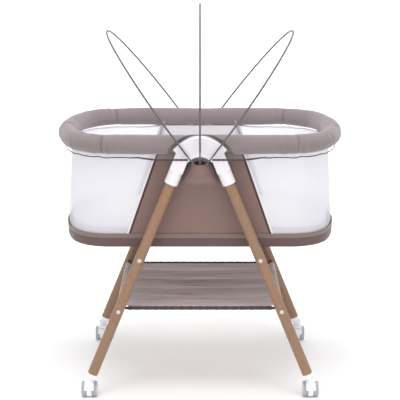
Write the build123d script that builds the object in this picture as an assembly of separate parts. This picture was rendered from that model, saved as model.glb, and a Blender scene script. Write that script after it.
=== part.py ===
from build123d import *
import math
import os

# A bassinet that hangs from a wooden trestle stand on twin-wheel casters, with a net canopy on
# three folding hoops. X runs along the bassinet, Y across it, Z up. The origin is on the floor at
# the middle of the footprint. All sizes are in millimetres.

# Stand: two A-shaped frames, one in front and one behind
frame_plane = 256.0
swing_height = 731.0
leg_slope = 22.12
leg_radius = 16.0
leg_offset = 67.0
leg_top = 24.0
leg_end = 730.0
sleeve_radius = 20.5
sleeve_end = 69.0
arch_outer_radius = 105.0
arch_inner_radius = 46.0
arch_half_angle = 50.0
arch_front = 276.5
arch_seam = 256.0
arch_back = 241.0
runner_radius = 76.0
runner_half_height = 8.0
runner_half_angle = 12.0
swing_limit = 5.0
lower_bar_height = 288.6
lower_bar_radius = 8.0
upper_bar_height = 454.0
upper_bar_radius = 8.0
running_gap = 0.3

# Shelf slung between the lower bars
shelf_rod_radius = 4.0
shelf_rod_reach = 234.0
shelf_sleeve_wall = 1.5
shelf_sheet = 2.0
shelf_half_depth = 212.0
shelf_half_length = 224.0

# Casters
caster_reach = 349.0
caster_trail = 10.0
wheel_radius = 23.5
wheel_inner = 9.5
wheel_outer = 25.0
axle_radius = 3.0
hood_half_width = 9.0
hood_top = 56.4
stem_radius = 4.0

# Bassinet rail: a padded tube with straight sides, round corners and shallow curved ends
rail_half_length = 421.0
rail_half_width = 246.7
rail_radius = 29.0
rail_height = 811.0
rail_corner_radius = 150.0
rail_end_radius = 420.0
rim_inset = 17.7
rim_radius = 7.5
hub_clearance_radius = 110.0
cover_seam = 288.0

# Bassinet body
wall_top_length = 409.0
wall_top_width = 231.0
wall_low_length = 426.2
wall_low_width = 224.2
wall_thickness = 1.5
wall_foot = 508.0
wall_top = 782.6
panel_top_half = 126.5
panel_low_half = 217.5
panel_top_level = 783.0
panel_low_level = 524.5
band_half_length = 430.0
band_half_width = 228.0
band_thickness = 2.5
band_foot = 484.0
band_head = 528.0
base_tube_radius = 6.5
base_tube_inset = 12.0
board_thickness = 6.0
strut_top_depth = 223.0
strut_low_depth = 212.0
strut_radius = 3.0
mattress_thickness = 40.0

# Canopy: three hoops on one pivot line, with net between
hoop_tilt = 36.6
hoop_straight = 120.0
hoop_crown_radius = 215.0
hoop_radius = 2.2
side_hoop_rise = 489.0
centre_hoop_rise = 477.0
left_hoop_reach = 284.0
right_hoop_reach = 288.2
centre_hoop_reach = 292.4
knuckle_radius = 14.0
knuckle_thickness = 3.0
knuckle_step = 4.2
knuckle_start = 254.3
pivot_radius = 4.0
net_thickness = 0.8
net_gap = 5.0
hem_radius = 2.0
hem_height = 772.0
hem_reach = 289.0
hem_tuck = 9.0
hem_turn_start = 120.0
hem_turn_end = 200.0

sides = {"left": -1, "right": 1}


def rod(start, finish, radius):
    """A straight round bar between two points."""
    start = Vector(*start)
    along = Vector(*finish) - start
    return Solid.make_cylinder(radius, along.length, Plane(origin=start, z_dir=along))


def block(low, high):
    """A box between two opposite corners."""
    size = [b - a for a, b in zip(low, high)]
    return Pos(*low) * Solid.make_box(*size)


def disc(radius, near, far, x=0.0, z=swing_height):
    """A round piece whose axis runs along Y."""
    return rod((x, near, z), (x, far, z), radius)


def to_rear(piece):
    """The same piece on the other long side."""
    return piece.mirror(Plane.XZ)


def leg_point(distance, side):
    """A point on a leg's centre line, measured down the leg from beside the hub's centre."""
    slope = math.radians(leg_slope)
    x = leg_offset * math.cos(slope) + distance * math.sin(slope)
    z = swing_height + leg_offset * math.sin(slope) - distance * math.cos(slope)
    return side * x, z


def leg_reach(height):
    """How far out from the middle a leg's centre line is at a height."""
    slope = math.radians(leg_slope)
    distance = (swing_height + leg_offset * math.sin(slope) - height) / math.cos(slope)
    return leg_point(distance, 1)[0]


def corner_start(grow):
    """Where a corner arc leaves the straight side, and the centres of the corner and end arcs."""
    half_length, half_width = rail_half_length + grow[0], rail_half_width + grow[1]
    corner = rail_corner_radius + min(grow)
    end = rail_end_radius + min(grow)
    reach = math.sqrt((end - corner) ** 2 - (half_width - corner) ** 2)
    straight = half_length - end + reach
    return half_length, half_width, corner, end, straight


def outline(grow, height):
    """The plan outline as a closed wire: straight sides, corner arcs and shallow end arcs.

    grow is how far it lies outside the rail's centre line, along X and along Y."""
    half_length, half_width, corner, end, straight = corner_start(grow)
    corner_x, corner_y = straight, half_width - corner
    end_x = half_length - end
    away = math.hypot(corner_x - end_x, corner_y)
    join = (end_x + end * (corner_x - end_x) / away, end * corner_y / away)
    turn = math.radians(45) + math.atan2(corner_y, corner_x - end_x) / 2
    middle = (corner_x + corner * math.cos(turn), corner_y + corner * math.sin(turn))

    def at(x, y):
        return Vector(x, y, height)

    edges = [
        Edge.make_line(at(-straight, -half_width), at(straight, -half_width)),
        Edge.make_three_point_arc(
            at(straight, -half_width), at(middle[0], -middle[1]), at(join[0], -join[1])
        ),
        Edge.make_three_point_arc(at(join[0], -join[1]), at(half_length, 0), at(*join)),
        Edge.make_three_point_arc(at(*join), at(*middle), at(straight, half_width)),
        Edge.make_line(at(straight, half_width), at(-straight, half_width)),
        Edge.make_three_point_arc(
            at(-straight, half_width), at(-middle[0], middle[1]), at(-join[0], join[1])
        ),
        Edge.make_three_point_arc(at(-join[0], join[1]), at(-half_length, 0), at(-join[0], -join[1])),
        Edge.make_three_point_arc(
            at(-join[0], -join[1]), at(-middle[0], -middle[1]), at(-straight, -half_width)
        ),
    ]
    return Wire(edges)


def outline_point(share, outward, height):
    """A point beside the outline: share 0 is the front middle, 0.5 the left end, 1 the rear middle."""
    path = outline((outward, outward), height)
    quarter = path.length / 4
    first = path.edges().sort_by(Axis.Y)[0]
    place = (first.length / 2 + 2 * quarter * (1 - share) + quarter * 2) % path.length
    return path.position_at(place, position_mode=PositionMode.LENGTH)


def outline_tube(inset, height, radius):
    """A round tube that follows the plan outline."""
    path = outline((-inset, -inset), height)
    start = Plane(origin=path @ 0, z_dir=path % 0)
    return sweep(start * Circle(radius), path=path).solid()


def outline_plate(grow, low, high):
    """A flat plate with the plan outline."""
    return Solid.extrude(Face(outline(grow, low)), Vector(0, 0, high - low))


def outline_loft(top, foot):
    """A solid between two plan outlines, each given as half length, half width and height."""
    wires = []
    for half_length, half_width, height in (foot, top):
        wires.append(outline((half_length - rail_half_length, half_width - rail_half_width), height))
    return Solid.make_loft(wires, ruled=True)


def sector(inner, outer, half_angle, near, far, middle=0.0):
    """A curved block about the pivot line, between two radii and within an angle of the top."""
    points = []
    steps = 12
    for step in range(steps + 1):
        angle = math.radians(middle - half_angle + 2 * half_angle * step / steps)
        points.append((math.sin(angle), math.cos(angle)))
    first, last, centre = points[0], points[-1], points[steps // 2]
    height = swing_height

    def at(point, radius):
        return Vector(point[0] * radius, near, height + point[1] * radius)

    edges = [
        Edge.make_three_point_arc(at(first, outer), at(centre, outer), at(last, outer)),
        Edge.make_line(at(last, outer), at(last, inner)),
        Edge.make_three_point_arc(at(last, inner), at(centre, inner), at(first, inner)),
        Edge.make_line(at(first, inner), at(first, outer)),
    ]
    return Solid.extrude(Face(Wire(edges)), Vector(0, far - near, 0))


# Stand ---------------------------------------------------------------------------------------


def arch_block(near, far):
    """The arch of the hub with the flat roots of both leg sleeves."""
    body = sector(arch_inner_radius, arch_outer_radius, arch_half_angle, near, far)
    for side in (-1, 1):
        x_top, z_top = leg_point(-52, side)
        x_low, z_low = leg_point(26, side)
        slope = math.radians(leg_slope) * side
        across = (math.cos(slope) * sleeve_radius, math.sin(slope) * sleeve_radius)
        corners = [
            (x_top - across[0], near, z_top - across[1]),
            (x_top + across[0], near, z_top + across[1]),
            (x_low + across[0], near, z_low + across[1]),
            (x_low - across[0], near, z_low - across[1]),
        ]
        strip = Solid.extrude(Face(Wire.make_polygon(corners)), Vector(0, far - near, 0))
        body = body + (strip & disc(arch_outer_radius, near, far))
    return body


def sleeve(side, near, far):
    """The half of a leg sleeve that lies between two depths."""
    x_top, z_top = leg_point(10, side)
    x_low, z_low = leg_point(sleeve_end, side)
    tube = rod((x_top, -frame_plane, z_top), (x_low, -frame_plane, z_low), sleeve_radius)
    return tube & block((-300, near, 500), (300, far, 900))


def leg_bore(side):
    """The hole that takes the top of a leg."""
    x_top, z_top = leg_point(leg_top, side)
    x_low, z_low = leg_point(sleeve_end + 5, side)
    return rod((x_top, -frame_plane, z_top), (x_low, -frame_plane, z_low), leg_radius)


def hub_outer_shell():
    """Front half of the white hub, the visible arch."""
    body = arch_block(-arch_front, -arch_seam)
    for side in (-1, 1):
        body = body + sleeve(side, -arch_front - 5, -arch_seam)
    face = body.faces().sort_by(Axis.Y)[0]
    body = body.fillet(3.0, [e for e in face.edges() if e.geom_type == GeomType.CIRCLE])
    slot_angle = runner_half_angle + swing_limit + 1.0
    low = runner_radius - runner_half_height - running_gap
    high = runner_radius + runner_half_height + running_gap
    body = body - sector(low, high, slot_angle, -arch_seam - 7.0, -arch_seam)
    for side in (-1, 1):
        body = body - leg_bore(side)
    return body.solid()


def hub_inner_shell():
    """Rear half of the hub, with the curved slot that the bassinet's runner slides in."""
    body = arch_block(-arch_seam, -arch_back)
    for side in (-1, 1):
        body = body + sleeve(side, -arch_seam, -arch_seam + sleeve_radius + 1)
    slot_angle = runner_half_angle + swing_limit + 1.0
    low = runner_radius - runner_half_height - running_gap
    high = runner_radius + runner_half_height + running_gap
    body = body - sector(low, high, slot_angle, -arch_seam, -arch_back)
    for side in (-1, 1):
        body = body - leg_bore(side)
    return body.solid()


def leg(side):
    """A round wooden leg, bored at the foot for the caster's plug."""
    x_top, z_top = leg_point(leg_top, side)
    x_low, z_low = leg_point(leg_end, side)
    body = rod((x_top, -frame_plane, z_top), (x_low, -frame_plane, z_low), leg_radius)
    x_plug, z_plug = leg_point(leg_end - 25, side)
    body = body - rod((x_plug, -frame_plane, z_plug), (x_low, -frame_plane, z_low), 11.0)
    for height in (lower_bar_height, upper_bar_height):
        body = body - disc(3.0, -frame_plane - 20, -frame_plane + 20, side * leg_reach(height), height)
        body = body - disc(6.5, -frame_plane - 20, -frame_plane - 13.0, side * leg_reach(height), height)
    return body.solid()


def leg_screws():
    """Eight socket screws through the legs into the ends of the bars."""
    group = []
    for side in (-1, 1):
        for height in (lower_bar_height, upper_bar_height):
            x = side * leg_reach(height)
            head = disc(6.3, -frame_plane - 16.3, -frame_plane - 13.0, x, height)
            socket = Plane(origin=(x, -frame_plane - 16.3, height), z_dir=(0, 1, 0))
            head = head - Solid.extrude(
                (socket * RegularPolygon(2.6, 6)).face(), Vector(0, 2.4, 0)
            )
            shank = disc(2.8, -frame_plane - 13.0, -frame_plane + 34.0, x, height)
            group.append((head + shank).solid())
            group.append(to_rear(group[-1]))
    return Compound(children=group)


def cross_bar(side, height, radius):
    """A steel bar from a front leg to a rear leg, with its ends cut to sit on the legs."""
    x = side * leg_reach(height)
    body = rod((x, -frame_plane + 4, height), (x, frame_plane - 4, height), radius)
    for y in (-frame_plane, frame_plane):
        x_top, z_top = leg_point(leg_top, side)
        x_low, z_low = leg_point(leg_end, side)
        body = body - rod((x_top, y, z_top), (x_low, y, z_low), leg_radius)
    tapped = disc(2.8, -frame_plane, -frame_plane + 34.0, x, height)
    body = body - tapped - to_rear(tapped)
    return body.solid()


def shelf_rods():
    """The two thin rods that hold the front and rear hems of the shelf."""
    group = []
    reach = leg_reach(lower_bar_height)
    for y in (-shelf_rod_reach, shelf_rod_reach):
        body = rod((-reach, y, lower_bar_height), (reach, y, lower_bar_height), shelf_rod_radius)
        for x in (-reach, reach):
            bar = rod((x, -300, lower_bar_height), (x, 300, lower_bar_height), lower_bar_radius)
            body = body - bar
        group.append(body.solid())
    return Compound(children=group)


def shelf_cloth():
    """Cloth shelf with sleeves round the side bars and round the two rods."""
    reach = leg_reach(lower_bar_height)
    z = lower_bar_height
    bar_sleeve = lower_bar_radius + running_gap
    rod_sleeve = shelf_rod_radius + running_gap
    sheet = block(
        (-reach, -shelf_half_depth, z - shelf_sheet / 2), (reach, shelf_half_depth, z + shelf_sheet / 2)
    )
    middle = block(
        (-shelf_half_length, -shelf_rod_reach, z - shelf_sheet / 2),
        (shelf_half_length, shelf_rod_reach, z + shelf_sheet / 2),
    )
    body = sheet + middle
    for x in (-reach, reach):
        body = body + rod((x, -shelf_half_depth, z), (x, shelf_half_depth, z), bar_sleeve + shelf_sleeve_wall)
    for y in (-shelf_rod_reach, shelf_rod_reach):
        body = body + rod(
            (-shelf_half_length, y, z), (shelf_half_length, y, z), rod_sleeve + shelf_sleeve_wall
        )
    for x in (-reach, reach):
        body = body - rod((x, -300, z), (x, 300, z), bar_sleeve)
    for y in (-shelf_rod_reach, shelf_rod_reach):
        body = body - rod((-300, y, z), (300, y, z), rod_sleeve)
    return body.solid()


# Casters, built at the front left and carried round by mirroring -----------------------------


def caster_place(side):
    """Where the upright stem of a front caster stands."""
    return side * caster_reach, -frame_plane


def foot_cap(side):
    """White cap with a plug up the leg and an upright socket for the caster's stem."""
    x_plug, z_plug = leg_point(leg_end - 22, side)
    x_low, z_low = leg_point(leg_end, side)
    x_cap, z_cap = leg_point(leg_end + 13, side)
    body = rod((x_plug, -frame_plane, z_plug), (x_low, -frame_plane, z_low), 11.0)
    collar = rod((x_low, -frame_plane, z_low), (x_cap, -frame_plane, z_cap), leg_radius + 0.6)
    x, y = caster_place(side)
    boss = rod((x, y, hood_top + 0.4), (x, y, 70), 13.5)
    body = body + collar + boss
    body = body - rod((x, y, 40), (x, y, 76), stem_radius + 0.1)
    return body.solid()


def caster_hood(side):
    """Swivelling hood: a web between the wheels under a curved fender, and the upright stem."""
    x, y = caster_place(side)
    axle_y = y + caster_trail
    z = wheel_radius
    fender = rod((x - 15, axle_y, z), (x + 15, axle_y, z), wheel_radius + 4.5)
    fender = fender - rod((x - 20, axle_y, z), (x + 20, axle_y, z), wheel_radius + 1.6)
    fender = fender & block((x - 30, axle_y - 60, z + 4), (x + 30, axle_y + 60, z + 60))
    pin_y, pin_z = brake_pin(y)
    web = rod((x - hood_half_width + 1, axle_y, z), (x + hood_half_width - 1, axle_y, z), wheel_radius + 2.0)
    web = web & block((x - 30, axle_y - 60, 5), (x + 30, axle_y + 60, 100))
    neck = rod((x, y, z + 14), (x, y, hood_top), 13.0)
    neck = neck - rod((x - 30, axle_y, z), (x - hood_half_width + 1, axle_y, z), wheel_radius + 1.6)
    neck = neck - rod((x + hood_half_width - 1, axle_y, z), (x + 30, axle_y, z), wheel_radius + 1.6)
    stem = rod((x, y, hood_top - 2), (x, y, 74), stem_radius)
    body = web + fender + neck + stem
    body = body - rod((x - 40, axle_y, z), (x + 40, axle_y, z), axle_radius + 0.1)
    latch = block((x - 8, axle_y + 10, z + 26.2), (x + 8, axle_y + 40, z + 50))
    body = body - latch
    body = body - rod((x - 8.2, pin_y, pin_z), (x + 8.2, pin_y, pin_z), 4.6)
    body = body - block((x - 8.2, pin_y, pin_z - 4.5), (x + 8.2, pin_y + 20, pin_z + 8))
    ears = rod((x - 11.5, pin_y, pin_z), (x + 11.5, pin_y, pin_z), 4.2)
    ears = ears - block((x - 8, pin_y - 10, pin_z - 10), (x + 8, pin_y + 10, pin_z + 10))
    foot = block((x - 11.5, pin_y - 3, pin_z - 9), (x - 8.2, pin_y + 3, pin_z))
    foot = foot + block((x + 8.2, pin_y - 3, pin_z - 9), (x + 11.5, pin_y + 3, pin_z))
    foot = foot - rod((x - 40, axle_y, z), (x + 40, axle_y, z), wheel_radius + 1.6)
    body = body + ears + foot
    body = body - rod((x - 12, pin_y, pin_z), (x + 12, pin_y, pin_z), 1.6)
    return body.solid()


def brake_pin(y):
    """The pin of a brake lever, above and behind the wheels."""
    angle = math.radians(55)
    reach = wheel_radius + 7.0
    return y + caster_trail + reach * math.cos(angle), wheel_radius + reach * math.sin(angle)


def caster_brake(side):
    """Small foot lever on a pin across the back of the hood."""
    x, y = caster_place(side)
    pin_y, pin_z = brake_pin(y)
    body = rod((x - 7.6, pin_y, pin_z), (x + 7.6, pin_y, pin_z), 3.6)
    tab = block((x - 7.6, pin_y, pin_z - 1.6), (x + 7.6, pin_y + 13, pin_z + 1.6))
    tab = tab.rotate(Axis((x, pin_y, pin_z), (1, 0, 0)), 20)
    pin = rod((x - 11.5, pin_y, pin_z), (x + 11.5, pin_y, pin_z), 1.5)
    return (body + tab + pin).solid()


def caster_wheels(side):
    """Both wheels of a caster on their common axle."""
    x, y = caster_place(side)
    axle_y = y + caster_trail
    z = wheel_radius
    body = rod((x - wheel_outer + 2, axle_y, z), (x + wheel_outer - 2, axle_y, z), axle_radius)
    for hand in (-1, 1):
        wheel = rod((x + hand * wheel_inner, axle_y, z), (x + hand * wheel_outer, axle_y, z), wheel_radius)
        outer = wheel.faces().sort_by(Axis.X)[0 if hand < 0 else -1]
        wheel = wheel.fillet(4.0, outer.edges())
        dish = rod((x + hand * (wheel_outer - 1.2), axle_y, z), (x + hand * 40, axle_y, z), 15.0)
        body = body + (wheel - dish)
    return body.solid()


# Bassinet ------------------------------------------------------------------------------------


def rim_tube():
    """Steel tube inside the padded rail."""
    return outline_tube(rim_inset, rail_height, rim_radius)


def hub_room():
    """Space kept free of the rail's padding round both hubs."""
    front = disc(hub_clearance_radius, -400, -(arch_back - 1.3))
    return front + to_rear(front)


def rail_cover(region):
    """One length of the padded cover, cut out round the hubs."""
    outer = outline_tube(0.0, rail_height, rail_radius)
    cavity = outline_tube(rim_inset, rail_height, rim_radius + running_gap)
    return (outer & region) - cavity - hub_room()


def rail_long_cover():
    """The front length of the cover, between its two seams."""
    body = rail_cover(block((-cover_seam, -400, 700), (cover_seam, 0, 900)))
    for side in (-1, 1):
        top, low = strut_line(side, -1)
        body = body - rod(low, top, strut_radius + 1.0)
        body = body - rod(top, (top[0], top[1], rail_height), strut_radius + 1.0)
    body = body - sector(40.0, 96.0, 41.0, -arch_back, -(rail_half_width - rim_inset) + 0.5)
    return body.solids().sort_by(SortBy.VOLUME)[-1]


def rail_end_cover():
    """The left end of the cover, gathered round the bend."""
    return rail_cover(block((-600, -400, 700), (-cover_seam, 400, 900))).solid()


def swing_bracket():
    """Steel plate behind the hub, on the rim tube, with the curved runner that carries the load."""
    back = rail_half_width - rim_inset
    plate = sector(58, 94, 38, -arch_back + 1.5, -back)
    tail = block((-26, -arch_back + 1.5, swing_height - 28), (26, -arch_back + 4.5, swing_height + 70))
    runner = sector(
        runner_radius - runner_half_height,
        runner_radius + runner_half_height,
        runner_half_angle,
        -arch_seam - 6.0,
        -arch_back + 2.0,
    )
    body = plate + tail + runner
    body = body - rod((-200, -back, rail_height), (200, -back, rail_height), rim_radius + 0.1)
    body = body - block((-200, -arch_back + 4.5, 600), (200, -200, wall_top + 1.5))
    return body.solid()


def fan_bracket():
    """Dark boss on the swing bracket that holds the pin of the hoops."""
    front = -knuckle_start
    body = disc(28, front + 2.0, -arch_back + 1.5)
    body = body + disc(10, front + 0.3, front + 2.0)
    body = body + disc(pivot_radius, -knuckle_start - 3 * knuckle_step - 1.0, front + 1.0)
    return body.solid()


def strut_line(side, end):
    """Where a strut starts under the rim tube and stands on the base tube."""
    top = (side * (panel_top_half - 7), end * strut_top_depth, rail_height - rim_radius + 0.2)
    low = (side * (panel_low_half - 3), end * strut_low_depth, board_level() + 1.0)
    return top, low


def side_struts():
    """Four thin steel struts from the rim tube down to the base tube, in the panels' edges."""
    struts = []
    for side in (-1, 1):
        for end in (-1, 1):
            struts.append(rod(*strut_line(side, end), strut_radius))
    return Compound(children=struts)


def wall_shell():
    """Thin tapered wall of the whole basket, open at the top and foot."""
    outer = outline_loft(
        (wall_top_length, wall_top_width, wall_top), (wall_low_length, wall_low_width, wall_foot)
    )
    inner = outline_loft(
        (wall_top_length - wall_thickness, wall_top_width - wall_thickness, wall_top),
        (wall_low_length - wall_thickness, wall_low_width - wall_thickness, wall_foot),
    )
    return outer - inner


def panel_wedge(spare):
    """The space between the slanted edges of the long side panels, with a seam's width to spare."""
    slope = (panel_low_half - panel_top_half) / (panel_top_level - panel_low_level)
    high, foot = 820.0, 480.0
    top = panel_top_half - slope * (high - panel_top_level) + spare
    low = panel_low_half + slope * (panel_low_level - foot) + spare
    corners = [(-top, -400, high), (top, -400, high), (low, -400, foot), (-low, -400, foot)]
    return Solid.extrude(Face(Wire.make_polygon(corners)), Vector(0, 800, 0))


def long_panel(wall):
    """Cloth panel in the middle of a long side."""
    body = wall & panel_wedge(0.0) & block((-600, -400, 0), (600, 0, 900))
    return body.solids().sort_by(SortBy.VOLUME)[-1]


def mesh_wall(wall):
    """Mesh round the left end, from one long panel to the other."""
    body = (wall - panel_wedge(0.4)) & block((-600, -400, 0), (0, 400, 900))
    return body.solids().sort_by(SortBy.VOLUME)[-1]


def base_band():
    """Cloth band round the base with the cloth under the base, a shallow tray."""
    outer = outline_loft(
        (band_half_length, band_half_width, band_head),
        (band_half_length - 2, band_half_width - 2, band_foot),
    )
    inner = outline_loft(
        (band_half_length - band_thickness, band_half_width - band_thickness, band_head + 1),
        (band_half_length - 2 - band_thickness, band_half_width - 2 - band_thickness, band_foot + 2),
    )
    return (outer - inner).solid()


def base_tube():
    """Steel tube round the base, inside the band."""
    grow = (
        band_half_length - base_tube_inset - rail_half_length,
        band_half_width - base_tube_inset - rail_half_width,
    )
    path = outline(grow, band_foot + 2 + base_tube_radius)
    start = Plane(origin=path @ 0, z_dir=path % 0)
    return sweep(start * Circle(base_tube_radius), path=path).solid()


def board_level():
    """Height of the base board's underside."""
    return band_foot + 2 + 2 * base_tube_radius


def base_board():
    """Flat board that rests on the base tube."""
    low = board_level()
    inset = wall_thickness + 6.0
    grow = (wall_low_length - inset - rail_half_length, wall_low_width - inset - rail_half_width)
    body = outline_plate(grow, low, low + board_thickness)
    for side in (-1, 1):
        for end in (-1, 1):
            x, y = side * (panel_low_half - 4), end * strut_low_depth
            body = body - rod((x, y, low - 1), (x, y, low + 20), strut_radius + 2.5)
    return body.solid()


def mattress():
    """Flat mattress on the board."""
    low = board_level() + board_thickness
    inset = wall_thickness + 12.0
    grow = (wall_low_length - inset - rail_half_length, wall_low_width - inset - 5.0 - rail_half_width)
    return outline_plate(grow, low, low + mattress_thickness)


def pivot_cover():
    """Cloth pouch over the hoop pivot, open at the top, closed behind by the side panel."""
    front, back = -274.5, -wall_top_width
    slope = math.radians(leg_slope)

    def wedge(edge, low, near, far):
        half_top = edge / math.cos(slope) - 21.0 * math.tan(slope)
        half_low = edge / math.cos(slope) + (swing_height - low) * math.tan(slope)
        corners = [
            (-half_top, near, swing_height + 21),
            (half_top, near, swing_height + 21),
            (half_low, near, low),
            (-half_low, near, low),
        ]
        return Solid.extrude(Face(Wire.make_polygon(corners)), Vector(0, far - near, 0))

    outer = wedge(38.0, 690.0, front, back - 0.3)
    inner = wedge(35.5, 692.5, front + 2.5, back + 5)
    inner = inner + Pos(0, 0, 20) * inner
    return (outer - inner).solid()


# Canopy --------------------------------------------------------------------------------------


def hoop_shape(reach, rise):
    """Radius and centre of the flank arc of a hoop, so that it meets the crown arc smoothly."""
    drop = hoop_straight - (rise - hoop_crown_radius)
    flank = (reach**2 + drop**2 - hoop_crown_radius**2) / (2 * (reach - hoop_crown_radius))
    centre = flank - reach
    away = math.hypot(centre, drop)
    join_y = -hoop_crown_radius * centre / away
    join_z = rise - hoop_crown_radius - hoop_crown_radius * drop / away
    return flank, centre, join_y, join_z


def hoop_outline(reach, rise, share):
    """Depth and radius of a hoop, both from the pivot line, at a share of the way along it."""
    half = 1 - abs(2 * share - 1)
    flank, centre, join_y, join_z = hoop_shape(reach, rise)
    flank_turn = math.asin((join_z - hoop_straight) / flank)
    crown_turn = math.atan2(-join_y, join_z - (rise - hoop_crown_radius))
    lengths = [hoop_straight - 50.0, flank * flank_turn, hoop_crown_radius * crown_turn]
    gone = half * sum(lengths)
    if gone < lengths[0]:
        y, z = -reach, 50.0 + gone
    elif gone < lengths[0] + lengths[1]:
        turn = (gone - lengths[0]) / flank
        y, z = centre - flank * math.cos(turn), hoop_straight + flank * math.sin(turn)
    else:
        turn = crown_turn - (gone - lengths[0] - lengths[1]) / hoop_crown_radius
        y = -hoop_crown_radius * math.sin(turn)
        z = rise - hoop_crown_radius + hoop_crown_radius * math.cos(turn)
    return (y if share < 0.5 else -y), z


def hoop_path(reach, rise, depth):
    """Centre line of a hoop: out of its knuckle, round the front of the hub, up and over."""
    flank, centre, join_y, join_z = hoop_shape(reach, rise)
    turn = math.asin((join_z - hoop_straight) / flank) / 2
    flank_middle = (centre - flank * math.cos(turn), hoop_straight + flank * math.sin(turn))
    bend = ((depth + reach) / 2, 30.0)
    left, right = [], []
    for hand, edges in ((-1, left), (1, right)):

        def at(y, z):
            return Vector(0, hand * abs(y), z)

        root = Edge.make_line(at(depth, 12.0), at(depth, 14.0))
        first = Edge.make_tangent_arc(at(depth, 14.0), Vector(0, 0, 1), at(*bend))
        second = Edge.make_tangent_arc(at(*bend), first % 1, at(reach, 46.0))
        rise_line = Edge.make_line(at(reach, 46.0), at(reach, hoop_straight))
        flank_arc = Edge.make_three_point_arc(
            at(reach, hoop_straight), at(*flank_middle), at(join_y, join_z)
        )
        edges.extend([root, first, second, rise_line, flank_arc])
    crown = Edge.make_three_point_arc(
        Vector(0, -abs(join_y), join_z), Vector(0, 0, rise), Vector(0, abs(join_y), join_z)
    )
    return Wire(left + [crown] + right)


def hoop(reach, rise, depth, tilt, fixed):
    """One arched rod with a flat round knuckle at each foot."""
    path = hoop_path(reach, rise, depth)
    start = Plane(origin=path @ 0, z_dir=path % 0)
    body = sweep(start * Circle(hoop_radius), path=path).solid()
    for end in (-1, 1):
        near, far = end * (depth - knuckle_thickness / 2), end * (depth + knuckle_thickness / 2)
        body = body + rod((0, near, 0), (0, far, 0), knuckle_radius)
    hole = pivot_radius + (0.0 if fixed else 0.05)
    body = body - rod((0, -300, 0), (0, 300, 0), hole)
    return Pos(0, 0, swing_height) * body.solid().rotate(Axis.Y, -tilt)


def knuckle_depth(index):
    """Depth of the middle of a knuckle, counted outwards along the pivot pin."""
    return knuckle_start + knuckle_step * index + knuckle_thickness / 2


def canopy_point(y, radius, tilt):
    """A point of the canopy, at a tilt from upright about the pivot line."""
    angle = math.radians(tilt)
    return Vector(-radius * math.sin(angle), y, swing_height + radius * math.cos(angle))


def net_sheet(rows):
    """A thin sheet through a grid of points."""
    face = Face.make_surface_from_array_of_points(rows, tol=0.8)
    return Solid.thicken(face, net_thickness)


def middle_net(reach, side):
    """Net between the centre hoop and one side hoop."""
    rows = []
    steps, across = 18, 4
    for step in range(steps + 1):
        along = 0.01 + 0.98 * step / steps
        near = hoop_outline(centre_hoop_reach, centre_hoop_rise, along)
        far = hoop_outline(reach, side_hoop_rise, along)
        edge = (hoop_radius + 2.0) / (far[1] * math.radians(hoop_tilt))
        row = []
        for place in range(across + 1):
            share = edge + (1 - 2 * edge) * place / across
            bow = 4 * share * (1 - share) * math.sin(math.pi * along)
            y = (near[0] + (far[0] - near[0]) * share) * (1 - 0.02 * bow)
            radius = (near[1] + (far[1] - near[1]) * share) * (1 - 0.12 * bow)
            row.append(canopy_point(y, radius, -side * hoop_tilt * share))
        rows.append(row)
    return net_sheet(rows)


def hem_path():
    """The elastic hem: clear in front of the hub, then tucked in under the rail."""
    out = hem_reach - rail_half_width
    _, half_width, _, _, straight = corner_start((hem_tuck, hem_tuck))
    full = outline((hem_tuck, hem_tuck), hem_height)
    z = hem_height
    left_part = full.edges().filter_by(lambda e: (e @ 0.5).X < -straight / 2 - 10).sort_by(Axis.Y)
    pieces = []
    for hand in (-1, 1):
        start = Vector(-36.0, hand * hem_reach, z)
        turn = Vector(-hem_turn_start, hand * hem_reach, z)
        bend = Vector(-(hem_turn_start + hem_turn_end) / 2, hand * (hem_reach + half_width) / 2, z)
        finish = Vector(-hem_turn_end, hand * half_width, z)
        first = Edge.make_tangent_arc(turn, Vector(-1, 0, 0), bend)
        second = Edge.make_tangent_arc(bend, first % 1, finish)
        straight_start = Vector(-straight, hand * half_width, z)
        last = Edge.make_line(finish, straight_start)
        pieces.append([Edge.make_line(start, turn), first, second, last])
    return Wire(pieces[0] + list(left_part) + pieces[1])


def hem_cord():
    """Elastic cord in the lower edge of the left half of the net."""
    path = hem_path()
    start = Plane(origin=path @ 0, z_dir=path % 0)
    return sweep(start * Circle(hem_radius), path=path).solid()


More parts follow.
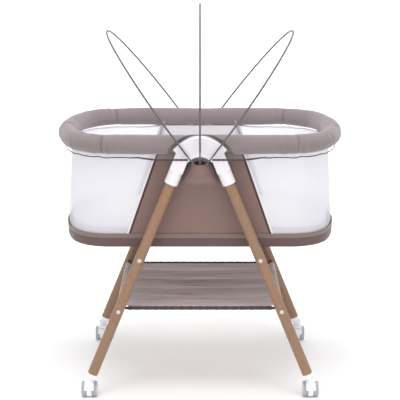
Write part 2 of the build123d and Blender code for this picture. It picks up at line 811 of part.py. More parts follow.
def end_net(reach):
    """Net from the left hoop down over the outside of the rail to the hem."""
    rows = []
    gap = rail_radius + net_gap
    hem = hem_path()
    steps = 24
    for step in range(steps + 1):
        share = step / steps
        side = -1 if share < 0.5 else 1
        y, radius = hoop_outline(reach, side_hoop_rise, 0.14 + 0.72 * share)
        top = canopy_point(y, radius, hoop_tilt) + Vector(-4.0, 0, -1.5)
        hug = min(min(share, 1 - share) / 0.09, 1.0)
        hug = hug * hug * (3 - 2 * hug)
        place = 0.045 + 0.91 * share
        row = []
        shoulder_hoop = canopy_point(side * (reach + 3.0), 128.0, hoop_tilt) + Vector(-6.0, 0, 0)
        centre = outline_point(place, 0.0, rail_height)
        away = outline_point(place, 1.0, rail_height) - centre
        up = Vector(0, 0, 1)

        def beside(turn):
            a = math.radians(turn)
            return centre + away * (gap * math.cos(a)) + up * (gap * math.sin(a))

        shoulder = shoulder_hoop + (beside(62) - shoulder_hoop) * hug
        for part in (0.0, 0.33, 0.66):
            dip = 4 * part * (1 - part) * math.sin(math.pi * share)
            row.append(top + (shoulder - top) * part + Vector(20.0 * dip, 0, -6.0 * dip))
        row.append(shoulder)
        for distance, turn in ((104.0, 24), (80.0, -8), (62.0, -30)):
            on_hoop = canopy_point(side * (reach + 3.0), distance, hoop_tilt) + Vector(-6.0, 0, 0)
            row.append(on_hoop + (beside(turn) - on_hoop) * hug)
        row.append(hem.position_at(share * 0.99 + 0.005) + up * (hem_radius + 1.5))
        rows.append(row)
    return net_sheet(rows)


# Output --------------------------------------------------------------------------------------


def build():
    """Every piece by name."""
    pieces = {}
    pieces["front_hub_outer_shell"] = hub_outer_shell()
    pieces["front_hub_inner_shell"] = hub_inner_shell()
    pieces["rear_hub_outer_shell"] = to_rear(pieces["front_hub_outer_shell"])
    pieces["rear_hub_inner_shell"] = to_rear(pieces["front_hub_inner_shell"])
    for name, side in sides.items():
        pieces["front_" + name + "_leg"] = leg(side)
        pieces["rear_" + name + "_leg"] = to_rear(leg(side))
        pieces["front_" + name + "_foot_cap"] = foot_cap(side)
        pieces["rear_" + name + "_foot_cap"] = to_rear(foot_cap(side))
        pieces[name + "_lower_bar"] = cross_bar(side, lower_bar_height, lower_bar_radius)
        pieces[name + "_upper_bar"] = cross_bar(side, upper_bar_height, upper_bar_radius)
    pieces["leg_screws"] = leg_screws()
    pieces["shelf_rods"] = shelf_rods()
    pieces["shelf_cloth"] = shelf_cloth()
    for name, side in sides.items():
        for kind, made in (("hood", caster_hood), ("wheels", caster_wheels), ("brake", caster_brake)):
            piece = made(side)
            pieces["front_" + name + "_caster_" + kind] = piece
            pieces["rear_" + name + "_caster_" + kind] = to_rear(piece)

    rim = rim_tube()
    base = base_tube()
    wall = wall_shell()
    pieces["rim_tube"] = rim
    pieces["front_rail_cover"] = rail_long_cover()
    pieces["rear_rail_cover"] = to_rear(pieces["front_rail_cover"])
    pieces["left_rail_cover"] = rail_end_cover()
    pieces["right_rail_cover"] = pieces["left_rail_cover"].mirror(Plane.YZ)
    pieces["front_swing_bracket"] = swing_bracket()
    pieces["rear_swing_bracket"] = to_rear(pieces["front_swing_bracket"])
    pieces["front_fan_bracket"] = fan_bracket()
    pieces["rear_fan_bracket"] = to_rear(pieces["front_fan_bracket"])
    pieces["front_pivot_cover"] = pivot_cover()
    pieces["rear_pivot_cover"] = to_rear(pieces["front_pivot_cover"])
    pieces["side_struts"] = side_struts()
    pieces["front_panel"] = long_panel(wall)
    pieces["rear_panel"] = to_rear(pieces["front_panel"])
    pieces["left_mesh_wall"] = mesh_wall(wall)
    pieces["right_mesh_wall"] = pieces["left_mesh_wall"].mirror(Plane.YZ)
    pieces["base_band"] = base_band()
    pieces["base_tube"] = base
    pieces["base_board"] = base_board()
    pieces["mattress"] = mattress()

    pieces["left_hoop"] = hoop(left_hoop_reach, side_hoop_rise, knuckle_depth(0), hoop_tilt, False)
    pieces["right_hoop"] = hoop(right_hoop_reach, side_hoop_rise, knuckle_depth(1), -hoop_tilt, False)
    pieces["centre_hoop"] = hoop(centre_hoop_reach, centre_hoop_rise, knuckle_depth(2), 0.0, True)
    pieces["left_middle_net"] = middle_net(left_hoop_reach, -1)
    pieces["right_middle_net"] = middle_net(right_hoop_reach, 1)
    pieces["left_end_net"] = end_net(left_hoop_reach)
    pieces["right_end_net"] = end_net(right_hoop_reach).mirror(Plane.YZ)
    pieces["left_hem"] = hem_cord()
    pieces["right_hem"] = pieces["left_hem"].mirror(Plane.YZ)
    return pieces


os.makedirs("parts", exist_ok=True)
for name, piece in build().items():
    piece.label = name
    export_step(piece, os.path.join("parts", name + ".step"))
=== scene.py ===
import math

import bpy
import numpy as np
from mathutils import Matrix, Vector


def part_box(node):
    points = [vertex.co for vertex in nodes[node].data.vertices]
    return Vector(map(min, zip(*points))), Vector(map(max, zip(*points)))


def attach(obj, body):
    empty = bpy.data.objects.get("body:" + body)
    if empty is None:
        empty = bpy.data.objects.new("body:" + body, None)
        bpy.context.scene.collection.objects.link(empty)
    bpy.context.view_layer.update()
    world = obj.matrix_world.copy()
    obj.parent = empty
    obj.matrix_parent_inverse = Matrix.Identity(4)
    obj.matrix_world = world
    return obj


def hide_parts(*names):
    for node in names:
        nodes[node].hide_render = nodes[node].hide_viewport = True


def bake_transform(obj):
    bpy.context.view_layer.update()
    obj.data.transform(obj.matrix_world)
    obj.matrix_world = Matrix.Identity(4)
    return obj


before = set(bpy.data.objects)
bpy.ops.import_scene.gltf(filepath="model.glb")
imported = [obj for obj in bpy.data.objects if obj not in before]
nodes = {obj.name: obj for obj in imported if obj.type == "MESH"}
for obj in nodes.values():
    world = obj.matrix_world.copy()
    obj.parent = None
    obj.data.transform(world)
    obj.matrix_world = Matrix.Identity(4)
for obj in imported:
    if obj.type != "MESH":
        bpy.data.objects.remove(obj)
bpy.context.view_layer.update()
ends = ("front", "rear")
sides = ("left", "right")


# Hubs ----------------------------------------------------------------------------------------
# Each hub is a white arch moulded in two shells that meet on a seam, screwed together round the
# tops of two legs. The moulding is satin, with a very fine texture and slight swirl marks.


class Value:
    """A number that changes over a surface, with the sums that are done on it."""

    def __init__(self, finish, socket):
        self.finish = finish
        self.socket = socket

    def worked(self, operation, *values):
        return self.finish.node("ShaderNodeMath", {"operation": operation}, dict(enumerate(values)))

    def __add__(self, other):
        return self.worked("ADD", self, other)

    def __sub__(self, other):
        return self.worked("SUBTRACT", self, other)

    def __rsub__(self, other):
        return self.worked("SUBTRACT", other, self)

    def __mul__(self, other):
        return self.worked("MULTIPLY", self, other)

    def __truediv__(self, other):
        return self.worked("DIVIDE", self, other)

    def __pow__(self, other):
        return self.worked("POWER", self, other)

    def __gt__(self, other):
        return self.worked("GREATER_THAN", self, other)

    def __lt__(self, other):
        return self.worked("LESS_THAN", self, other)

    __radd__ = __add__
    __rmul__ = __mul__

    def sine(self):
        return self.worked("SINE", self)

    def size(self):
        return self.worked("ABSOLUTE", self)

    def larger(self, other):
        return self.worked("MAXIMUM", self, other)

    def ramp(self, low, high):
        """0 below low, 1 above high, smooth between."""
        settings = {"interpolation_type": "SMOOTHSTEP"}
        return self.finish.node("ShaderNodeMapRange", settings, {0: self, 1: low, 2: high})


class Finish:
    """A material made of nodes round one Principled shader."""

    def __init__(self, name, **fixed):
        self.material = bpy.data.materials.new(name)
        self.material.use_nodes = True
        self.tree = self.material.node_tree
        self.shader = self.tree.nodes["Principled BSDF"]
        for socket, value in fixed.items():
            self.shader.inputs[socket.replace("_", " ")].default_value = value

    def node(self, kind, settings=None, inputs=None, output=0):
        made = self.tree.nodes.new(kind)
        for key, value in (settings or {}).items():
            setattr(made, key, value)
        for key, value in (inputs or {}).items():
            self.join(made.inputs[key], value)
        return Value(self, made.outputs[output])

    def join(self, socket, value):
        if isinstance(value, Value):
            self.tree.links.new(value.socket, socket)
        else:
            socket.default_value = value

    def place(self, output="Object"):
        """Where a point is: in metres on the piece, or along and across the cloth with "UV"."""
        return self.node("ShaderNodeTexCoord", output=output)

    def axes(self, place):
        return [self.node("ShaderNodeSeparateXYZ", None, {0: place}, axis) for axis in range(3)]

    def scaled(self, place, factors):
        return self.node("ShaderNodeVectorMath", {"operation": "MULTIPLY"}, {0: place, 1: factors})

    def noise(self, place, scale, detail=3.0, roughness=0.5):
        inputs = {"Vector": place, "Scale": scale, "Detail": detail, "Roughness": roughness}
        return self.node("ShaderNodeTexNoise", None, inputs)

    def mix(self, share, one, two):
        inputs = {0: share, 6: one, 7: two}
        return self.node("ShaderNodeMix", {"data_type": "RGBA"}, inputs, 2)

    def bump(self, height, distance, strength=1.0, under=None):
        inputs = {"Height": height, "Distance": distance, "Strength": strength}
        if under is not None:
            inputs["Normal"] = under
        return self.node("ShaderNodeBump", None, inputs)

    def drive(self, **links):
        for socket, value in links.items():
            self.join(self.shader.inputs[socket.replace("_", " ")], value)
        return self.material


def shade(red, green, blue, dim=1.0):
    """A colour from its screen values, as light."""
    light = []
    for part in (red, green, blue):
        part = part / 255
        light.append(dim * (part / 12.92 if part <= 0.04045 else ((part + 0.055) / 1.055) ** 2.4))
    return (*light, 1.0)


def moulded(name, one, two, roughness):
    """Satin moulded plastic with a fine texture and slight swirls."""
    finish = Finish(name, Specular_IOR_Level=0.45, Coat_Weight=0.08)
    place = finish.place()
    swirl = finish.noise(place, 14.0, 2.0)
    grain = finish.noise(place, 2600.0, 2.0)
    return finish.drive(
        Base_Color=finish.mix(swirl, one, two),
        Roughness=roughness + 0.10 * swirl + 0.05 * grain,
        Normal=finish.bump(grain, 0.00004, 0.5),
    )


def wear(material, *names):
    """Gives CAD nodes a material."""
    for name in names:
        nodes[name].data.materials.clear()
        nodes[name].data.materials.append(material)


hub_white = moulded("hub_white", shade(236, 232, 236), shade(228, 224, 229), 0.34)
for end in ends:
    wear(hub_white, end + "_hub_outer_shell", end + "_hub_inner_shell")


# Legs ----------------------------------------------------------------------------------------
# Four round dowels of stained beech, pinned in the hub's sleeves, that splay to the left and
# right. The grain runs along each leg, under a clear satin coat.

leg_slope = math.radians(22.12)


def beech(side, hand):
    """Stained beech whose grain runs along a leg that leans this way."""
    finish = Finish("beech_" + side, Coat_Weight=0.16, Coat_Roughness=0.32, Specular_IOR_Level=0.4)
    turned = finish.node(
        "ShaderNodeVectorRotate",
        {"rotation_type": "Y_AXIS"},
        {"Vector": finish.place(), "Angle": hand * leg_slope},
    )
    x, y, z = finish.axes(turned)
    bend = finish.noise(finish.scaled(turned, (9.0, 9.0, 3.0)), 1.0, 2.0)
    rings = finish.noise(finish.scaled(turned, (150.0, 150.0, 5.0)), 1.0, 3.0, 0.6)
    fibre = finish.noise(finish.scaled(turned, (1100.0, 1100.0, 26.0)), 1.0, 3.0, 0.7)
    fleck = finish.noise(finish.scaled(turned, (900.0, 900.0, 120.0)), 1.0, 1.0).ramp(0.60, 0.72)
    figure = (rings * 6.0 + bend * 5.0).sine() * 0.5 + 0.5
    light, dark = shade(150, 119, 96), shade(118, 88, 68)
    colour = finish.mix(0.62 * figure + 0.38 * fibre, light, dark)
    colour = finish.mix(0.35 * fleck, colour, shade(108, 78, 58))
    colour = finish.mix(bend.ramp(0.35, 0.75) * 0.4, colour, shade(172, 128, 96))
    return finish.drive(
        Base_Color=colour,
        Roughness=0.42 + 0.14 * fibre,
        Normal=finish.bump(fibre - 0.6 * fleck, 0.00012, 0.6),
    )


for side, hand in (("left", 1), ("right", -1)):
    beech_finish = beech(side, hand)
    for end in ends:
        wear(beech_finish, f"{end}_{side}_leg")


# Bars, rods and screws -----------------------------------------------------------------------
# Four steel bars join the front and rear legs, and two thin rods hold the shelf's hems. They are
# powder coated black; the socket screws through the legs are bright zinc.


def coated(name, one, two, roughness):
    """Powder coat: slightly pebbled, in one colour with faint cloudiness."""
    finish = Finish(name, Specular_IOR_Level=0.5)
    place = finish.place()
    pebble = finish.noise(place, 1900.0, 2.0)
    cloud = finish.noise(place, 30.0, 2.0)
    return finish.drive(
        Base_Color=finish.mix(cloud, one, two),
        Roughness=roughness + 0.12 * pebble,
        Normal=finish.bump(pebble, 0.00008, 0.7),
    )


black_steel = coated("black_steel", shade(44, 40, 42), shade(58, 54, 56), 0.42)
wear(black_steel, "left_lower_bar", "right_lower_bar")
wear(black_steel, "left_upper_bar", "right_upper_bar", "shelf_rods")

zinc = Finish("screw_zinc", Metallic=1.0)
brushed = zinc.noise(zinc.scaled(zinc.place(), (4000.0, 300.0, 4000.0)), 1.0, 2.0)
zinc.drive(
    Base_Color=zinc.mix(brushed, shade(228, 226, 224), shade(196, 194, 192)),
    Roughness=0.24 + 0.2 * brushed,
    Normal=zinc.bump(brushed, 0.00003, 0.5),
)
wear(zinc.material, "leg_screws")


# Foot caps and casters -----------------------------------------------------------------------
# White nylon caps plug the legs and take the casters' stems. Each caster has two white wheels
# on one axle, under a hood, and a small foot lever on a pin as its brake. The wheels' outer rims
# are coloured grey as painted shade.

nylon_white = moulded("nylon_white", shade(243, 243, 248), shade(234, 234, 240), 0.30)


def wheel_finish(name, node):
    """White wheel whose outer rim is coloured grey as painted shade, found from the distance to the
    axle.
    """
    low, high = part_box(node)
    axle_y, axle_z = (low.y + high.y) / 2, (low.z + high.z) / 2
    finish = Finish(name, Specular_IOR_Level=0.4)
    place = finish.place()
    x, y, z = finish.axes(place)
    out = ((y - axle_y) ** 2.0 + (z - axle_z) ** 2.0) ** 0.5
    shaded_rim = out.ramp(0.0213, 0.0219)
    scuff = finish.noise(place, 90.0, 4.0, 0.7)
    ring = out.ramp(0.0146, 0.0150) * (1 - out.ramp(0.0152, 0.0157))
    colour = finish.mix(scuff, shade(242, 242, 247), shade(232, 232, 238))
    # Painted shade: the outer rim of each white wheel is mixed towards grey.
    colour = finish.mix(shaded_rim, colour, shade(176, 173, 180))
    return finish.drive(
        Base_Color=finish.mix(ring * 0.4, colour, shade(170, 168, 174)),
        Roughness=0.3 + 0.35 * shaded_rim + 0.15 * scuff,
        Normal=finish.bump(scuff * shaded_rim, 0.0003, 0.6),
    )


for end in ends:
    for side in sides:
        corner = end + "_" + side
        wear(nylon_white, corner + "_foot_cap", corner + "_caster_hood", corner + "_caster_brake")
        wheels = corner + "_caster_wheels"
        wear(wheel_finish(corner + "_wheel_nylon", wheels), wheels)


# Shelf ---------------------------------------------------------------------------------------
# A sheet of taupe polyester, heat-set in irregular pleats that run from side to side. Its sides
# are sewn in sleeves round the lower bars, and its front and rear hems round the two thin rods.


def woven(name, light, dark, pitch=0.0011, melange=0.5, sheen=0.25, relief=0.00016, soil=0.0):
    """Plain weave along and across the cloth, with uneven yarn colours."""
    finish = Finish(name, Sheen_Weight=sheen, Sheen_Roughness=0.5, Specular_IOR_Level=0.2)
    place = finish.place("UV")
    along, across, _ = finish.axes(place)
    turns = 2 * math.pi / pitch
    weave = (along * turns).sine() * (across * turns).sine()
    warp = finish.noise(finish.scaled(place, (60.0, 1500.0, 1.0)), 1.0, 2.0)
    weft = finish.noise(finish.scaled(place, (1500.0, 60.0, 1.0)), 1.0, 2.0)
    yarn = melange * (0.5 * warp + 0.5 * weft) + (1 - melange) * (0.5 + 0.5 * weave)
    cloud = finish.noise(finish.place(), 9.0, 3.0)
    colour = finish.mix(yarn, light, dark)
    colour = finish.mix(0.25 * cloud + soil, colour, dark)
    height = weave * 0.5 + (warp + weft) * 0.5
    return finish, colour, finish.bump(height, relief, 0.6)


def finished(made, roughness=0.86):
    finish, colour, normal = made
    return finish.drive(Base_Color=colour, Roughness=roughness, Normal=normal)


def cloth_mesh(name, grids, material, rounds=(False, False), thickness=0.0, subdivide=0):
    """A smooth mesh through grids of points, with the cloth's own lengths as its map."""
    vertices, faces, spans = [], [], []
    for grid in grids:
        grid = np.asarray(grid, float)
        rows, columns = grid.shape[:2]
        start = len(vertices)
        vertices.extend(grid.reshape(-1, 3))
        step_v = np.linalg.norm(np.diff(grid, axis=0), axis=2).mean(1)
        step_u = np.linalg.norm(np.diff(grid, axis=1), axis=2).mean(0)
        v = np.append(np.insert(np.cumsum(step_v), 0, 0), step_v.sum() + step_v[-1])
        u = np.append(np.insert(np.cumsum(step_u), 0, 0), step_u.sum() + step_u[-1])
        for row in range(rows if rounds[0] else rows - 1):
            for column in range(columns if rounds[1] else columns - 1):
                next_row, next_column = (row + 1) % rows, (column + 1) % columns
                faces.append(
                    [
                        start + row * columns + column,
                        start + row * columns + next_column,
                        start + next_row * columns + next_column,
                        start + next_row * columns + column,
                    ]
                )
                spans.extend(
                    [
                        (u[column], v[row]),
                        (u[column + 1], v[row]),
                        (u[column + 1], v[row + 1]),
                        (u[column], v[row + 1]),
                    ]
                )
    mesh = bpy.data.meshes.new(name)
    mesh.from_pydata([tuple(p) for p in vertices], [], faces)
    layer = mesh.uv_layers.new(name="cloth")
    layer.data.foreach_set("uv", np.array(spans, np.float32).ravel())
    mesh.polygons.foreach_set("use_smooth", [True] * len(mesh.polygons))
    piece = bpy.data.objects.new(name, mesh)
    bpy.context.scene.collection.objects.link(piece)
    mesh.materials.append(material)
    if subdivide:
        smooth = piece.modifiers.new("smooth", "SUBSURF")
        smooth.levels = smooth.render_levels = subdivide
    if thickness:
        thick = piece.modifiers.new("thickness", "SOLIDIFY")
        thick.thickness = thickness
        thick.offset = 0.0
    return piece


def tube_grid(centres, outward, upward, widths, heights, around=12):
    """Rings of points round a line; outward and upward are each ring's own axes."""
    turns = np.linspace(0, 2 * math.pi, around, endpoint=False)
    rings = []
    for centre, out, up, wide, high in zip(centres, outward, upward, widths, heights):
        ring = centre + np.outer(np.cos(turns) * wide, out) + np.outer(np.sin(turns) * high, up)
        rings.append(ring)
    return np.array(rings)


bar_low, bar_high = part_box("left_lower_bar")
shelf_height = (bar_low.z + bar_high.z) / 2
bar_out = -(bar_low.x + bar_high.x) / 2
rod_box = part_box("shelf_rods")
rod_depth = rod_box[1].y - 0.004
sleeve_half = 0.224
shelf_half_depth = 0.212
pleats = 15


def pleat(along, depth):
    """Height of the pleated sheet; along runs side to side, depth front to rear, in metres."""
    place = (depth / (2 * rod_depth) + 0.5) * pleats
    place = place + 0.35 * np.sin(2.1 * place + 1.0) + 0.12 * np.sin(along * 21 + place * 1.7)
    saw = place - np.floor(place)
    rise = np.where(saw < 0.72, saw / 0.72, (1 - saw) / 0.28)
    ridge = rise * rise * (3 - 2 * rise)
    fade = np.clip((rod_depth - np.abs(depth)) / 0.03, 0, 1)
    fade = fade * np.clip((bar_out - np.abs(along)) / 0.05, 0, 1)
    strength = 0.0036 + 0.0012 * np.sin(place * 0.9 + along * 6)
    sag = 0.007 * np.cos(along / bar_out * math.pi / 2) * np.cos(depth / rod_depth * math.pi / 2)
    return ridge * strength * fade - sag


shelf_cloth_finish, shelf_colour, shelf_weave = woven(
    "shelf_cloth", shade(214, 196, 193), shade(170, 150, 148), melange=0.6, sheen=0.35
)
shelf_folds = shelf_cloth_finish.noise(
    shelf_cloth_finish.scaled(shelf_cloth_finish.place(), (5.0, 75.0, 5.0)), 1.0, 3.0, 0.6
)
shelf_shadow = shelf_folds.ramp(0.52, 0.72) * 0.55
shelf_colour = shelf_cloth_finish.mix(shelf_shadow, shelf_colour, shade(146, 126, 124))
shelf_material = shelf_cloth_finish.drive(
    Base_Color=shelf_colour,
    Roughness=0.78,
    Normal=shelf_cloth_finish.bump(shelf_folds, 0.004, 0.5, shelf_weave),
)

depths = np.linspace(-rod_depth, rod_depth, 241)
middle_rows = []
for depth in depths:
    half = bar_out if abs(depth) <= shelf_half_depth else sleeve_half
    along = np.linspace(-half, half, 61)
    heights = shelf_height + 0.0006 + pleat(along, np.full(61, depth))
    middle_rows.append(np.column_stack([along, np.full(61, depth), heights]))
shelf = cloth_mesh("shelf_sheet", [middle_rows], shelf_material, thickness=0.0008)
shelf_sleeves = []
for hand in (-1, 1):
    reach = np.linspace(-shelf_half_depth, shelf_half_depth, 81)
    pucker = 0.0004 * np.sin(reach * 310) + 0.0003 * np.sin(reach * 173 + 1)
    centres = np.column_stack([np.full(81, hand * bar_out), reach, np.full(81, shelf_height)])
    out = np.tile([1.0, 0, 0], (81, 1))
    up = np.tile([0, 0, 1.0], (81, 1))
    shelf_sleeves.append(tube_grid(centres, out, up, 0.0094 + pucker, 0.0094 + pucker, 24))
sleeves = cloth_mesh("shelf_side_sleeves", shelf_sleeves, shelf_material, (False, True), 0.0007)
shelf_hems = []
for hand in (-1, 1):
    reach = np.linspace(-sleeve_half, sleeve_half, 161)
    pucker = 0.0003 * np.sin(reach * 400) + 0.0003 * np.sin(reach * 231 + 2)
    centres = np.column_stack([reach, np.full(161, hand * rod_depth), np.full(161, shelf_height)])
    out = np.tile([0, 1.0, 0], (161, 1))
    up = np.tile([0, 0, 1.0], (161, 1))
    shelf_hems.append(tube_grid(centres, out, up, 0.0053 + pucker, 0.0053 + pucker, 20))
hem_cloth = finished(woven("shelf_hem_cloth", shade(92, 80, 83), shade(62, 52, 55)))
hems = cloth_mesh("shelf_hem_sleeves", shelf_hems, hem_cloth, (False, True), 0.0006)
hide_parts("shelf_cloth")
for piece in (shelf, sleeves, hems):
    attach(piece, "stand")


# Rail ----------------------------------------------------------------------------------------
# A steel tube bent to the basket's plan, wrapped in foam and covered in taupe melange cloth. The
# cover is sewn from four lengths; it gathers round the bends and is pressed flat behind the hubs.

rail_half_length = 0.421
rail_half_width = 0.2467
rail_corner = 0.150
rail_end = 0.420
rail_radius = 0.029
rail_height = 0.811
swing_height = 0.731
cover_seam = 0.288
hub_clearance = 0.110
pressed_depth = 0.2401


class PlanLine:
    """The basket's plan outline, a little larger or smaller, measured from the front middle."""

    def __init__(self, grow_length=0.0, grow_width=0.0):
        length, width = rail_half_length + grow_length, rail_half_width + grow_width
        corner = rail_corner + min(grow_length, grow_width)
        end = rail_end + min(grow_length, grow_width)
        reach = math.sqrt((end - corner) ** 2 - (width - corner) ** 2)
        straight = length - end + reach
        join = math.atan2(width - corner, reach)
        bend = np.linspace(math.pi / 2, join, 80)
        cap = np.linspace(join, 0, 80)[1:]
        level = np.linspace(0, straight, 80)[:-1]
        x = np.concatenate([level, straight + corner * np.cos(bend), length - end + end * np.cos(cap)])
        y = np.concatenate(
            [np.full(79, width), width - corner + corner * np.sin(bend), end * np.sin(cap)]
        )
        quarter = np.column_stack([x, y])
        back = quarter[::-1][1:]
        points = np.concatenate([quarter * [-1, -1], back * [-1, 1], quarter[1:], back * [1, -1]])
        self.points = points
        steps = np.linalg.norm(np.diff(points, axis=0), axis=1)
        self.gone = np.insert(np.cumsum(steps), 0, 0)
        self.length = self.gone[-1]

    def at(self, distance):
        """Points at distances from the front middle, going left, and the outward directions."""
        d = np.mod(distance, self.length)
        x, y = [np.interp(d, self.gone, self.points[:, axis]) for axis in (0, 1)]
        ahead, behind = np.mod(d + 0.0015, self.length), np.mod(d - 0.0015, self.length)
        dx, dy = [
            np.interp(ahead, self.gone, self.points[:, axis])
            - np.interp(behind, self.gone, self.points[:, axis])
            for axis in (0, 1)
        ]
        size = np.hypot(dx, dy)
        return np.column_stack([x, y]), np.column_stack([dy / size, -dx / size]) * -1.0

    def reaches(self, x):
        """Distance from the front middle at which the outline has gone this far to the left."""
        first = self.points[: len(self.points) // 4]
        return float(np.interp(x, -first[:, 0], self.gone[: len(first)]))


def creases(seed, places, slants=(-0.01, 0.01), depths=(0.0008, 0.0022), lengths=(0.5, 1.4)):
    """Random creases: distance along, turn round the rail, slant, depth, width and length."""
    chance = np.random.default_rng(seed)
    made = []
    for middle, spread, count in places:
        for _ in range(count):
            made.append(
                (
                    middle + chance.uniform(-spread, spread),
                    chance.uniform(-1.2, 2.2),
                    chance.uniform(*slants),
                    chance.uniform(*depths),
                    chance.uniform(0.0016, 0.0038),
                    chance.uniform(*lengths),
                )
            )
    return made


def creased(distance, turn, lines):
    """How far creases pull the surface in; each has a small roll beside it."""
    depth = np.zeros_like(distance)
    for middle, centre, slant, deep, wide, long in lines:
        around = np.mod(turn - centre + math.pi, 2 * math.pi) - math.pi
        off = (distance - middle - slant * around) / wide
        fade = np.exp(-((around / long) ** 2))
        depth += fade * deep * (np.exp(-(off**2)) - 0.6 * np.exp(-(((off - 2.0) / 1.3) ** 2)))
    return depth


def rail_cloth(name):
    """Melange cloth with the grey and rosy yarns seen from close by."""
    finish, colour, normal = woven(
        name, shade(148, 134, 135), shade(113, 99, 100), 0.0009, melange=0.75, sheen=0.4
    )
    return finish.drive(Base_Color=colour, Roughness=0.88, Normal=normal)


rail_cloth_finish = rail_cloth("rail_cloth")
plan = PlanLine()
seam_gone = plan.reaches(cover_seam)
half_way = plan.length / 2
cover_runs = {
    "front": (-seam_gone, seam_gone),
    "left": (seam_gone, half_way - seam_gone),
    "rear": (half_way - seam_gone, half_way + seam_gone),
    "right": (half_way + seam_gone, plan.length - seam_gone),
}


def rail_section(distance, turns, lines, first, last):
    """Points round the padded rail at these distances along it."""
    centres, out = plan.at(distance)
    d, t = np.meshgrid(distance, turns, indexing="ij")
    to_seam = np.minimum(d - first, last - d)
    waist = 0.0022 * np.exp(-((to_seam / 0.004) ** 2)) + 0.0006 * np.exp(-((to_seam / 0.02) ** 2))
    swell = 0.0005 * np.sin(d * 23 + 2 * t) + 0.0004 * np.sin(d * 41 - t)
    radius = rail_radius - 0.0004 - waist + swell - creased(d, t, lines)
    radius = np.minimum(radius, rail_radius + 0.0012)
    sag = 0.0008 * np.clip(-np.sin(t), 0, 1)
    x = centres[:, 0][:, None] + out[:, 0][:, None] * radius * np.cos(t)
    y = centres[:, 1][:, None] + out[:, 1][:, None] * radius * np.cos(t)
    z = rail_height + radius * np.sin(t) - sag
    off_hub = np.hypot(x, z - swing_height)
    free = np.clip((off_hub - hub_clearance - 0.001) / 0.010, 0, 1)
    limit = pressed_depth + 0.06 * free * free * (3 - 2 * free)
    y = np.sign(y) * np.minimum(np.abs(y), limit)
    return np.stack([x, y, z], axis=2)


turns = np.linspace(0, 2 * math.pi, 56, endpoint=False)
for name, (first, last) in cover_runs.items():
    gathered = name in sides
    if gathered:
        middle = (first + last) / 2
        spots = [(first + 0.03, 0.028, 12), (last - 0.03, 0.028, 12), (middle, 0.09, 16)]
        spots += [(first + 0.09, 0.03, 7), (last - 0.09, 0.03, 7)]
        lines = creases(7 if name == "left" else 8, spots, (-0.006, 0.006), (0.0007, 0.0019))
    else:
        spots = [(first + 0.035, 0.03, 9), (last - 0.035, 0.03, 9), ((first + last) / 2, 0.16, 4)]
        lines = creases(3 if name == "front" else 4, spots, (-0.016, 0.016), (0.0006, 0.0016))
        lines += [
            (first + 0.022, -1.3, 0.012, 0.0022, 0.003, 0.9),
            (first + 0.034, -1.2, 0.016, 0.0018, 0.003, 0.8),
            (last - 0.022, -1.3, -0.012, 0.0022, 0.003, 0.9),
            (last - 0.034, -1.2, -0.016, 0.0018, 0.003, 0.8),
        ]
    count = int((last - first) / 0.0016)
    grid = rail_section(np.linspace(first, last, count), turns, lines, first, last)
    cover = cloth_mesh(name + "_rail_padding", [grid], rail_cloth_finish, (False, True))
    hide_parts(name + "_rail_cover")
    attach(cover, "bassinet")

steel = coated("frame_steel", shade(150, 149, 151), shade(168, 167, 169), 0.36)
wear(steel, "rim_tube", "side_struts", "base_tube")
for end in ends:
    wear(steel, end + "_swing_bracket")


def seam_ring(distance, turns_shown, radius):
    """A line of points round the rail's section, on its surface."""
    ring = rail_section(np.array([distance]), turns_shown, [], distance - 1, distance + 1)[0]
    middle = np.append(plan.at(np.array([distance]))[0][0], rail_height)
    return middle + (ring - middle) * (radius / rail_radius)


piping_cloth = finished(woven("piping_cloth", shade(118, 100, 104), shade(88, 72, 76), 0.0008))
pipings = []
for distance in (seam_gone, half_way - seam_gone, half_way + seam_gone, plan.length - seam_gone):
    line = seam_ring(distance, np.linspace(0, 2 * math.pi, 48, endpoint=False), rail_radius - 0.0019)
    centre = np.append(plan.at(np.array([distance]))[0][0], rail_height)
    out = (line - centre) / np.linalg.norm(line - centre, axis=1)[:, None]
    ahead = np.roll(line, -1, axis=0) - np.roll(line, 1, axis=0)
    ahead = ahead / np.linalg.norm(ahead, axis=1)[:, None]
    along = np.cross(out, ahead)
    pipings.append(tube_grid(line, out, along, np.full(48, 0.0011), np.full(48, 0.0011), 8))
piping = cloth_mesh("rail_piping", pipings, piping_cloth, (True, True))
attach(piping, "bassinet")


# Basket sides --------------------------------------------------------------------------------
# The middle of each long side is a trapezoid of plain brown cloth over two steel struts; the ends
# are open white mesh. Each panel has a white lining, and a dark binding on its slanted seams.

wall_top, wall_low = 0.7826, 0.508
panel_top_height, panel_low_height = 0.783, 0.5245
panel_top_half, panel_low_half = 0.1265, 0.2175
wall_grow_top = (0.409 - rail_half_length, 0.231 - rail_half_width)
wall_grow_low = (0.4262 - rail_half_length, 0.2242 - rail_half_width)


def wall_plan(height, inset=0.0):
    """The wall's plan outline at a height."""
    share = (wall_top - height) / (wall_top - wall_low)
    grow = [top + (low - top) * share - inset for top, low in zip(wall_grow_top, wall_grow_low)]
    return PlanLine(*grow)


def panel_half(height):
    """Half of the panel's width at a height."""
    share = (panel_top_height - height) / (panel_top_height - panel_low_height)
    return panel_top_half + (panel_low_half - panel_top_half) * share


panel_cloth, panel_colour, panel_weave = woven(
    "panel_cloth", shade(146, 121, 115), shade(118, 95, 90), 0.0008, melange=0.35, sheen=0.3
)
panel_material = panel_cloth.drive(Base_Color=panel_colour, Roughness=0.84, Normal=panel_weave)
lining_cloth = finished(woven("lining_cloth", shade(238, 236, 238), shade(222, 219, 222), 0.0008), 0.85)
binding_cloth = finished(woven("binding_cloth", shade(92, 74, 72), shade(66, 52, 51), 0.0008))

def wall_depth(height):
    """Distance of the long walls from the middle at a height."""
    share = (height - wall_low) / (wall_top - wall_low)
    return rail_half_width + wall_grow_low[1] + (wall_grow_top[1] - wall_grow_low[1]) * share


